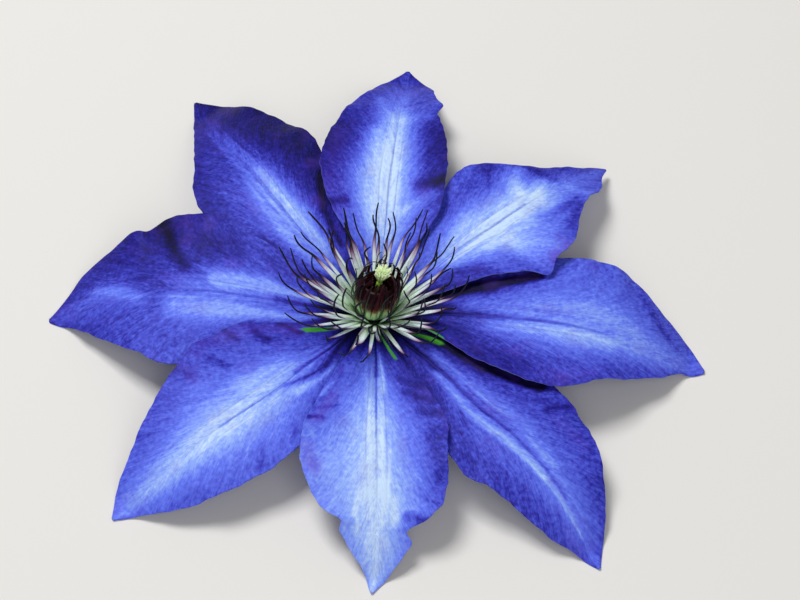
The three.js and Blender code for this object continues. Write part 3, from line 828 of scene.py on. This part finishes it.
# Carries an oval section along many paths at once. Paths are strands x rings x
# 3; width lies sideways and thickness across it. Ends close on a point. Place
# runs from 0 to 1 along a strand, and rib is 1 at its two edges.
def strandMesh(paths, halfWidth, halfThickness, sideways, sides):
    strands, rings, _ = paths.shape
    forward = np.gradient(paths, axis=1)
    forward /= np.linalg.norm(forward, axis=-1, keepdims=True)
    depth = np.cross(forward, sideways[:, None, :])
    depth /= np.linalg.norm(depth, axis=-1, keepdims=True)
    width = np.cross(depth, forward)
    turn = 2 * np.pi * np.arange(sides) / sides
    ring = (width[:, :, None, :] * (np.cos(turn)[:, None] * halfWidth[:, :, None, None])
            + depth[:, :, None, :] * (np.sin(turn)[:, None] * halfThickness[:, :, None, None]))
    skin = (paths[:, :, None, :] + ring).reshape(strands, rings * sides, 3)
    points = np.concatenate([skin, paths[:, :1], paths[:, -1:]], axis=1)
    quads, fans = tubeFaces(rings, sides)
    starts = (np.arange(strands) * (rings * sides + 2))[:, None, None]
    place = np.append(np.repeat(np.linspace(0, 1, rings), sides), [0, 1])
    rib = np.append(np.tile(np.abs(np.cos(turn)), rings), [0, 0])
    return (points.reshape(-1, 3), (quads + starts).reshape(-1, 4), (fans + starts).reshape(-1, 3),
            np.tile(place, strands), np.tile(rib, strands))


# Joins bunches of strands and turned pieces into one mesh: each one's faces
# count on from the points before it.
def joinMeshes(bunches):
    points, quads, fans, places, ribs = zip(*bunches)
    starts = np.cumsum([0] + [len(these) for these in points])
    quads = np.concatenate([these + start for these, start in zip(quads, starts)])
    fans = np.concatenate([these + start for these, start in zip(fans, starts)])
    return np.concatenate(points), [quads, fans], np.concatenate(places), np.concatenate(ribs)


# A profile of radius and height turned about the axis, upwards on the outside.
# One that starts and ends on the axis closes there in two fans; any other is a
# closed loop and makes a ring. Place gives each row its value.
def turnedMesh(profile, sides, place):
    profile, place = np.asarray(profile, float), np.asarray(place, float)
    onAxis = profile[0, 0] == 0
    rows = profile[1:-1] if onAxis else profile
    turn = 2 * np.pi * np.arange(sides) / sides
    points = polar(rows[:, :1], turn, np.repeat(rows[:, 1:], sides, axis=1)).reshape(-1, 3)
    values = np.repeat(place[1:-1] if onAxis else place, sides)
    if onAxis:
        points = np.concatenate([points, [[0, 0, profile[0, 1]], [0, 0, profile[-1, 1]]]])
        values = np.append(values, place[[0, -1]])
    quads, fans = tubeFaces(len(rows), sides, looped=not onAxis)
    return points, quads, fans, values, np.full(len(values), 0.5)


seat = {
    "foot": 8.0,
    "top": 9.0,
    "outerRadius": 4.1,
    "innerRadius": 2.35,
    "gap": 0.3,
    "lean": 1.6,
    "headHeight": 14.0,
}


# The head leans to +X as the square of its height above the seat.
def leaned(points):
    shift = seat["lean"] * np.maximum((points[..., 2] - seat["foot"]) / seat["headHeight"], 0) ** 2
    return points + np.stack([shift, np.zeros_like(shift), np.zeros_like(shift)], axis=-1)


# The level direction at right angles to each bearing.
def sidewaysOf(azimuths):
    return np.stack([-np.sin(azimuths), np.cos(azimuths), np.zeros_like(azimuths)], axis=-1)


# Reads a few points of each path as one smooth curve of many: straight lines
# between them, then each point is averaged three times with its neighbours.
def smoothPaths(paths, places, rings):
    even = np.linspace(0, 1, rings)
    coarse = np.stack([[np.interp(even, places, path[:, axis]) for axis in range(3)] for path in paths])
    coarse = np.moveaxis(coarse, 1, 2)
    for _ in range(3):
        coarse[:, 1:-1] = (coarse[:, :-2] + 2 * coarse[:, 1:-1] + coarse[:, 2:]) / 4
    return coarse


stamen = {
    "seed": 41,
    "places": [0, 0.2, 0.42, 0.58, 0.7, 0.8, 0.9, 1],
    "halfWidth": [0.34, 0.46, 0.5, 0.52, 0.52, 0.5, 0.44, 0.32, 0.22, 0.21, 0.21, 0.16],
    "halfThickness": [0.24, 0.2, 0.17, 0.16, 0.16, 0.16, 0.16, 0.17, 0.18, 0.18, 0.18, 0.13],
    "antherStart": 0.56,
    "rootDepth": 0.5,
    "curl": 0.55,
    "curlRise": 0.275,
    "curlStart": 0.55,
    "curlRamp": 0.25,
    "widthSwing": 0.2,
    "stepToNext": 2.399,  # radians of wave from one stamen to the next
    "rings": 30,
    "sides": 8,
    "ringSides": 64,
    # draws about each stamen's place in its circle and about the figures below
    "azimuthDraw": 0.22,
    "climbDraw": 3,
    "hookDraw": 24,
    "driftDraw": 55,
    "lengthDraw": (-1.8, 1.5),
    # count, root radius, climb in degrees, length, hook in degrees
    "circles": [
        (20, 3.6, 26, 23.5, 40), (16, 3.4, 36, 23, 48), (12, 3.3, 47, 20.5, 54), (10, 3.3, 57, 17, 58),
        (14, 3.5, 45, 22, 42),
    ],
    "tints": [
        # the first stops darken the roots and the seat's ring with painted shade under the cup
        (0.0, colour(34, 48, 46)), (0.05, colour(104, 134, 92)), (0.14, colour(192, 220, 180)),
        (0.3, colour(228, 250, 230)), (0.48, colour(226, 240, 244)), (0.58, colour(178, 154, 186)),
        (0.64, colour(98, 58, 90)), (0.68, colour(34, 18, 34)), (1.0, colour(12, 8, 18)),
    ],
    "antherHighlight": colour(90, 108, 96),
}


# One stamen climbs outwards in short steps; past the anther's start its climb
# and heading turn by the hook and the drift.
def stamenPath(root, azimuth, climb, length, hook, drift):
    path = [root]
    places = stamen["places"]
    for i in range(1, len(places)):
        middle = (places[i] + places[i - 1]) / 2
        turn = float(smoothStep((middle - stamen["antherStart"]) / (1 - stamen["antherStart"])))
        up = climb + hook * turn
        heading = azimuth + drift * turn
        step = length * (places[i] - places[i - 1])
        path.append(path[-1] + step * np.array([
            math.cos(up) * math.cos(heading), math.cos(up) * math.sin(heading), math.sin(up),
        ]))
    return np.array(path)


# Circles of stamens from one ring on the seat, with small draws about each
# one's bearing, climb, hook, drift and length.
def makeStamens(material):
    draw = makeDraw(stamen["seed"])
    paths, azimuths = [], []
    for level, (count, rootRadius, climb, length, hook) in enumerate(stamen["circles"]):
        for i in range(count):
            place = i + level / 3 + eitherWay(draw, stamen["azimuthDraw"])
            azimuth = 2 * math.pi * place / count
            up = math.radians(climb + eitherWay(draw, stamen["climbDraw"]))
            turnUp = math.radians(hook + eitherWay(draw, stamen["hookDraw"]))
            drift = math.radians(eitherWay(draw, stamen["driftDraw"]))
            long = length + draw(*stamen["lengthDraw"])
            x, y = rootRadius * math.cos(azimuth), rootRadius * math.sin(azimuth)
            root = np.array([x, y, seat["top"] - stamen["rootDepth"]])
            paths.append(stamenPath(root, azimuth, up, long, turnUp, drift))
            azimuths.append(azimuth)
    paths = smoothPaths(np.array(paths), stamen["places"], stamen["rings"])
    azimuths = np.array(azimuths)
    even = np.linspace(0, 1, stamen["rings"])
    sideways = sidewaysOf(azimuths)
    # Anthers curl: a small sideways and upward wave that grows past their start.
    grown = smoothStep((even - stamen["curlStart"]) / stamen["curlRamp"])
    starts = np.arange(len(paths)) * stamen["stepToNext"]
    wave = stamen["curl"] * grown * np.sin(9 * even[None, :] + starts[:, None])
    rise = stamen["curlRise"] * grown * np.cos(8 * even[None, :] + 1.7 * starts[:, None])
    paths = paths + wave[..., None] * sideways[:, None, :] + rise[..., None] * np.array([0, 0, 1.0])
    sizes = 1 + stamen["widthSwing"] * np.sin(5 * starts)
    halfWidth = sizes[:, None] * along(stamen["halfWidth"], even)[None, :]
    halfThickness = np.repeat(along(stamen["halfThickness"], even)[None, :], len(paths), axis=0)
    bunch = strandMesh(paths, halfWidth, halfThickness, sideways, stamen["sides"])
    innerRadius = seat["innerRadius"] + seat["gap"]
    # The seat's ring takes place 0, the darkest tint: painted shade under the cup.
    ring = turnedMesh([
        (innerRadius, seat["foot"]), (seat["outerRadius"], seat["foot"]),
        (seat["outerRadius"], seat["top"] - 0.2), (seat["outerRadius"] - 0.3, seat["top"]),
        (innerRadius, seat["top"]),
    ], stamen["ringSides"], [0, 0, 0, 0, 0])
    points, faces, place, rib = joinMeshes([bunch, ring])
    perStrand = stamen["rings"] * stamen["sides"] + 2
    tones = np.append(np.repeat(0.5 + 0.5 * np.sin(7 * starts), perStrand), np.full(len(ring[0]), 0.5))
    attributes = {"place": place, "rib": rib, "tone": tones}
    piece = makePiece("spreading_stamens", points, faces, attributes, material)
    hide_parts("stamens")


# Filaments run from roots darkened with painted shade under the cup through
# greenish white to mauve, which reaches further down their edges. Anthers are
# nearly black, with a painted grey-green highlight along their edges.
def makeStamenMaterial():
    material, tree, shader = newMaterial("stamenStrands")
    value, height = tissue(tree, 1400.0, 0.18)
    place = attribute(tree, "place")
    place = plus(place, swingOf(attribute(tree, "tone"), 0.07))
    rib = attribute(tree, "rib")
    reached = plus(place, times(ramp(rib, 0.6, 1.0), 0.1))
    # Low places slide further down the tints, so the painted shade on the roots reaches higher.
    reached = minus(reached, times(ramp(place, 0.3, 0.0), 0.1))
    tint = colourRamp(reached, stamen["tints"])
    # Painted highlight: a grey-green line along each anther's edges, where rib nears 1.
    anther = ramp(place, 0.62, 0.7)
    edges = times(anther, ramp(rib, 0.85, 1.0))
    tint = blendColour(times(edges, 0.35), tint, stamen["antherHighlight"])
    tint = shadeColour(tint, value)
    dress(shader, tint, times(value, 0.55), 0.3, plus(height, times(rib, 0.6)), 0.4, 0.0002)
    return material


print("stamens")
makeStamens(makeStamenMaterial())

dome = {
    "seed": 97,
    "radii": [1.75, 3.5, 4.6, 5, 4.8, 3.8],
    "heights": [8.7, 10.7, 14, 17.4, 20.6, 22.6],
    "halfWidth": [0.5, 0.64, 0.56, 0.42, 0.32, 0.18],
    "halfThickness": [0.32, 0.3, 0.28, 0.26, 0.22, 0.14],
    "threadHalfWidth": [0.14, 0.14, 0.13, 0.12, 0.11, 0.07],
    "threadWave": 0.14,
    "threadTurns": 6,
    "threadStep": 2.4,  # radians of wave from one thread to the next
    "threadFlare": 2.4,
    "flareStart": 0.6,
    "flareRamp": 0.4,
    "innerLean": 2.1,
    "leanStart": 0.55,
    "leanRamp": 0.45,
    "rings": 26,
    "sides": 8,
    # layers from the outside in, then the threads over them: count, first place,
    # and draws of the place, the bulge, the height and the twist
    "layers": [
        (22, 0, 0.2, (0.96, 1.1), (-0.5, 0.9), 0.25),
        (28, 0.5, 0.3, (0.8, 0.88), (-2.6, -1.6), 0.5),
        (20, 0, 0.45, (1.1, 1.22), (-1.2, 2.4), 0.4),
    ],
    # radius, height and place of the core that fills the dome below its rim
    "core": [
        (1.75, 8.6, 0), (2.2, 8.6, 0), (3.2, 10.6, 0.2), (4.1, 13.8, 0.4), (4.4, 17, 0.6), (4, 19.2, 0.8),
        (3.4, 20, 0.9), (3, 19.4, 0.9), (3, 17, 0.8), (2.6, 13, 0.7), (1.75, 10.6, 0.6),
    ],
    "baseInnerRadius": 1.35,
    "turnedSides": 48,
    "tints": [
        (0.0, colour(110, 146, 84)), (0.1, colour(182, 230, 172)), (0.34, colour(200, 236, 180)),
        (0.44, colour(190, 206, 136)), (0.5, colour(128, 70, 62)), (0.57, colour(72, 10, 22)),
        (0.75, colour(58, 2, 14)), (1.0, colour(38, 1, 10)),
    ],
    "threadTints": [
        (0.0, colour(150, 184, 130)), (0.3, colour(96, 120, 90)), (0.6, colour(60, 74, 62)),
        (0.85, colour(24, 24, 28)), (1.0, colour(14, 12, 18)),
    ],
    "strandEdge": colour(124, 104, 106),
}


# The dome: upright strands whose radius and height follow two curves. A draw
# swells or narrows each one at its middle, raises its tip and twists it. Inner
# strands lean in at the top. Threads wave sideways, and some flare at the end.
def makeDome(material):
    draw = makeDraw(dome["seed"])
    even = np.linspace(0, 1, dome["rings"])
    azimuths, bulges, heights, twists, layers = [], [], [], [], []
    for layer, (count, start, shift, bulge, rise, twist) in enumerate(dome["layers"]):
        for i in range(count):
            azimuths.append(2 * math.pi * (i + start + eitherWay(draw, shift)) / count)
            bulges.append(draw(*bulge))
            heights.append(draw(*rise))
            twists.append(eitherWay(draw, twist))
            layers.append(layer)
    azimuths, bulges, heights, twists, layers = map(np.array, (azimuths, bulges, heights, twists, layers))
    angle = azimuths[:, None] + twists[:, None] * even ** 2
    number = np.arange(len(azimuths))
    inner, thread = layers == 1, layers == 2
    phase = dome["threadStep"] * number
    wave = np.sin(dome["threadTurns"] * even + phase[:, None])
    angle = angle + thread[:, None] * dome["threadWave"] * wave * even
    radius = along(dome["radii"], even) * (1 + (bulges[:, None] - 1) * np.sin(np.pi * even))
    lean = dome["innerLean"] * smoothStep((even - dome["leanStart"]) / dome["leanRamp"])
    radius = radius - inner[:, None] * lean
    flare = thread * dome["threadFlare"] * np.sin(phase) * (heights > 0)
    radius = radius + flare[:, None] * smoothStep((even - dome["flareStart"]) / dome["flareRamp"])
    height = along(dome["heights"], even) + heights[:, None] * even
    paths = polar(radius, angle, height)
    fine = along(dome["threadHalfWidth"], even)
    halfWidth = np.where(thread[:, None], fine, along(dome["halfWidth"], even))
    halfThickness = np.where(thread[:, None], fine, along(dome["halfThickness"], even))
    bunch = strandMesh(paths, halfWidth, halfThickness, sidewaysOf(azimuths), dome["sides"])
    profile = np.array(dome["core"])
    core = turnedMesh(profile[:, :2], dome["turnedSides"], profile[:, 2])
    base = turnedMesh([
        (dome["baseInnerRadius"], seat["foot"]), (seat["innerRadius"], seat["foot"]),
        (seat["innerRadius"], seat["top"]), (dome["baseInnerRadius"], seat["top"]),
    ], dome["turnedSides"], [0, 0, 0, 0])
    points, faces, place, rib = joinMeshes([bunch, core, base])
    perStrand = dome["rings"] * dome["sides"] + 2
    rest = np.zeros(len(core[0]) + len(base[0]))
    isThread = np.concatenate([np.repeat(thread.astype(float), perStrand), rest])
    tones = np.concatenate([np.repeat(0.5 + 0.5 * np.sin(3.7 * number), perStrand), rest])
    attributes = {"place": place, "rib": rib, "thread": isThread, "tone": tones}
    piece = makePiece("stamen_dome", leaned(points), faces, attributes, material)
    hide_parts("inner_stamens")


# Green cups turn burgundy at a height that differs from strand to strand. Some
# strands are nearly black and some have a thin grey edge.
def makeDomeMaterial():
    material, tree, shader = newMaterial("domeStrands")
    value, height = tissue(tree, 1200.0, 0.25)
    tone = attribute(tree, "tone")
    place = plus(attribute(tree, "place"), plus(swingOf(height, 0.12), swingOf(tone, 0.1)))
    tint = colourRamp(place, dome["tints"])
    rib = attribute(tree, "rib")
    edges = times(ramp(place, 0.5, 0.6), ramp(rib, 0.93, 1.0))
    edges = times(edges, ramp(tone, 0.55, 0.9))
    tint = blendColour(times(edges, 0.8), tint, dome["strandEdge"])
    depth = plus(0.4, times(ramp(tone, 0.0, 0.7), 0.6))
    tint = shadeColour(tint, calc("MAXIMUM", depth, ramp(place, 0.55, 0.4)))
    tint = blendColour(attribute(tree, "thread"), tint, colourRamp(place, dome["threadTints"]))
    tint = shadeColour(tint, value)
    dress(shader, tint, times(value, 0.42), 0.18, height, 0.4, 0.0002)
    return material


print("dome of inner stamens")
makeDome(makeDomeMaterial())

tuft = {
    "seed": 23,
    "count": 170,
    "root": 19.4,
    "length": 4.9,
    "leastSpread": 0.04,
    "spread": 0.34,
    "bearingDraw": 0.3,
    "spreadDraw": 0.05,
    "lengthDraw": (0.84, 1.06),
    "rootBend": 0.86,
    "tipBend": 0.26,
    "rootWidening": 0.5,
    "halfWidth": 0.12,
    "swell": [0.8, 0.9, 1.0, 1.4, 0.7],
    "rings": 8,
    "sides": 5,
    "columnSides": 32,
    "column": [(0, 8), (1.05, 8), (1.05, 9), (0.8, 12), (0.8, 18.6), (0.7, 19.7), (0, 20)],
    "tints": [
        (0.0, colour(128, 168, 50)), (0.4, colour(166, 202, 84)), (0.7, colour(214, 238, 150)),
        (1.0, colour(238, 252, 214)),
    ],
    "columnTint": colour(128, 166, 52),
}


# Hairs rise from the column's top by the golden angle. They spread with the root
# of their number, like a shuttlecock, and turn outwards near their tips.
def makeStyles(material):
    draw = makeDraw(tuft["seed"])
    even = np.linspace(0, 1, tuft["rings"])
    number = np.arange(tuft["count"])
    azimuths = number * math.pi * (3 - math.sqrt(5))
    azimuths = azimuths + np.array([eitherWay(draw, tuft["bearingDraw"]) for _ in number])
    spread = tuft["leastSpread"] + tuft["spread"] * np.sqrt((number + 0.5) / tuft["count"])
    spread = spread + np.array([eitherWay(draw, tuft["spreadDraw"]) for _ in number])
    length = tuft["length"] * np.array([draw(*tuft["lengthDraw"]) for _ in number])
    reach = length[:, None] * even
    bend = spread[:, None] * (tuft["rootBend"] + tuft["tipBend"] * even ** 3)
    outwards = reach * np.sin(bend) * (1 + tuft["rootWidening"] - tuft["rootWidening"] * even)
    paths = polar(outwards, azimuths[:, None], tuft["root"] + reach * np.cos(bend))
    half = tuft["halfWidth"] * np.repeat(along(tuft["swell"], even)[None], len(number), axis=0)
    bunch = strandMesh(paths, half, half, sidewaysOf(azimuths), tuft["sides"])
    column = turnedMesh(tuft["column"], tuft["columnSides"], np.zeros(len(tuft["column"])))
    points, faces, place, rib = joinMeshes([bunch, column])
    isColumn = np.concatenate([np.zeros(len(bunch[0])), np.ones(len(column[0]))])
    attributes = {"place": place, "rib": rib, "column": isColumn}
    piece = makePiece("style_tuft", leaned(points), faces, attributes, material)
    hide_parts("styles")


# Hairs go from yellow-green at their roots to nearly white tips.
def makeStyleMaterial():
    material, tree, shader = newMaterial("styleTuft")
    value, height = tissue(tree, 1800.0, 0.15)
    tint = colourRamp(attribute(tree, "place"), tuft["tints"])
    tint = blendColour(attribute(tree, "column"), tint, tuft["columnTint"])
    tint = shadeColour(tint, value)
    dress(shader, tint, times(value, 0.6), 0.5, height, 0.3, 0.0002)
    return material


print("styles")
makeStyles(makeStyleMaterial())

stalk = {
    # radius and height, from the cut end to the seat
    "profile": [(0, 0.8), (1.35, 0.8), (1.5, 1.0), (1.42, 2.2), (1.4, 3.4), (1.6, 5), (2.5, 6.3),
                (3.6, 6.9), (4, 7.2), (4.1, 7.45), (4, 7.7), (0, 7.7)],
    "sides": 72,
    "ribs": 6,
    "ribHeight": 0.06,
    "ribEnd": 5.5,
    "ribFade": 3,
    "skin": colour(96, 128, 62),
    "ribTint": colour(120, 84, 84),
    "seatTint": colour(118, 150, 78),
}


# The profile turned about the axis, with low ribs that fade into the seat.
def makeStalk(material):
    profile = np.array(stalk["profile"])
    points, quads, fans, place, _ = turnedMesh(profile, stalk["sides"], profile[:, 1] / profile[-1, 1])
    rib = np.cos(stalk["ribs"] * np.arctan2(points[:, 1], points[:, 0]))
    fade = smoothStep((stalk["ribEnd"] - points[:, 2]) / stalk["ribFade"])
    swell = stalk["ribHeight"] * rib * fade
    radius = np.hypot(points[:, 0], points[:, 1])
    scale = 1 + swell / np.maximum(radius, 0.5) * (radius > 0.1)
    points = points * np.stack([scale, scale, np.ones_like(scale)], axis=-1)
    attributes = {"place": place, "rib": rib}
    piece = makePiece("cut_stalk", points, [quads, fans], attributes, material)
    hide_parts("stalk")


# Green skin, brownish along the ribs and paler towards the seat.
def makeStalkMaterial():
    material, tree, shader = newMaterial("stalkSkin")
    value, height = tissue(tree, 700.0, 0.25)
    tint = blendColour(ramp(attribute(tree, "rib"), -0.6, 1.0), stalk["skin"], stalk["ribTint"])
    tint = blendColour(ramp(attribute(tree, "place"), 0.55, 0.9), tint, stalk["seatTint"])
    tint = shadeColour(tint, value)
    dress(shader, tint, times(value, 0.5), 0.5, height, 0.4, 0.0003)
    return material


print("stalk")
makeStalk(makeStalkMaterial())


# Floor, lights and camera

# Sizes and places in metres
studio = {
    "floorSize": 4.0,
    "floorColour": colour(226, 224, 220),
    "floorRoughness": 0.8,
    "skyStrength": 0.2,
    "head": (0, 0, 0.012),
    # name: place from the flower's head, size, power in watts
    "lights": {
        "keyLight": ((-0.4, 0.4, 1.1), 0.5, 12.0),
        "fillLight": ((0.25, -1.0, 0.9), 1.0, 6.2),
    },
}


# A flat square at the height on which the flower lies.
def makeFloor():
    half = studio["floorSize"] / 2
    mesh = bpy.data.meshes.new("floor")
    corners = [(-half, -half, 0), (half, -half, 0), (half, half, 0), (-half, half, 0)]
    mesh.from_pydata(corners, [], [(0, 1, 2, 3)])
    material, _, shader = newMaterial("paleFloor")
    plug(studio["floorColour"], shader.inputs["Base Color"])
    plug(studio["floorRoughness"], shader.inputs["Roughness"])
    mesh.materials.append(material)
    floor = bpy.data.objects.new("floor", mesh)
    bpy.context.collection.objects.link(floor)


# An even pale sky and two square lamps that point at the flower.
def makeLights():
    world = bpy.data.worlds.new("studio")
    bpy.context.scene.world = world
    world.use_nodes = True
    background = world.node_tree.nodes["Background"]
    plug((1.0, 1.0, 1.0, 1.0), background.inputs["Color"])
    plug(studio["skyStrength"], background.inputs["Strength"])
    head = Vector(studio["head"])
    for name, (place, size, power) in studio["lights"].items():
        lamp = bpy.data.lights.new(name, "AREA")
        lamp.energy = power
        lamp.size = size
        light = bpy.data.objects.new(name, lamp)
        light.location = head + Vector(place)
        light.rotation_euler = (-Vector(place)).to_track_quat("-Z", "Y").to_euler()
        bpy.context.collection.objects.link(light)


# Elevation in degrees; the rest in millimetres. The aim is measured from the
# flower's head, across and up in the camera's own view.
cameraView = {
    "elevation": 52.0,
    "distance": 620.0,
    "focalLength": 121.3,
    "headHeight": 8.0,
    "aimRight": 5.75,
    "aimUp": 3.22,
}


# The camera looks along +Y and down, and stands back from its aim by the distance.
def makeCamera():
    tilt = math.radians(cameraView["elevation"])
    right = np.array([1.0, 0, 0])
    up = np.array([0, math.sin(tilt), math.cos(tilt)])
    back = np.array([0, -math.cos(tilt), math.sin(tilt)])
    aim = flowerAxis + np.array([0, 0, cameraView["headHeight"]])
    aim = aim + cameraView["aimRight"] * right + cameraView["aimUp"] * up
    lens = bpy.data.cameras.new("camera")
    lens.lens = cameraView["focalLength"]
    lens.sensor_width = 36.0
    lens.clip_start = 0.01
    camera = bpy.data.objects.new("camera", lens)
    camera.location = Vector((aim + cameraView["distance"] * back) * mm)
    camera.rotation_euler = (-Vector(back)).to_track_quat("-Z", "Y").to_euler()
    bpy.context.collection.objects.link(camera)
    bpy.context.scene.camera = camera


print("studio")
makeFloor()
makeLights()
makeCamera()
bpy.context.scene.view_settings.view_transform = "Standard"
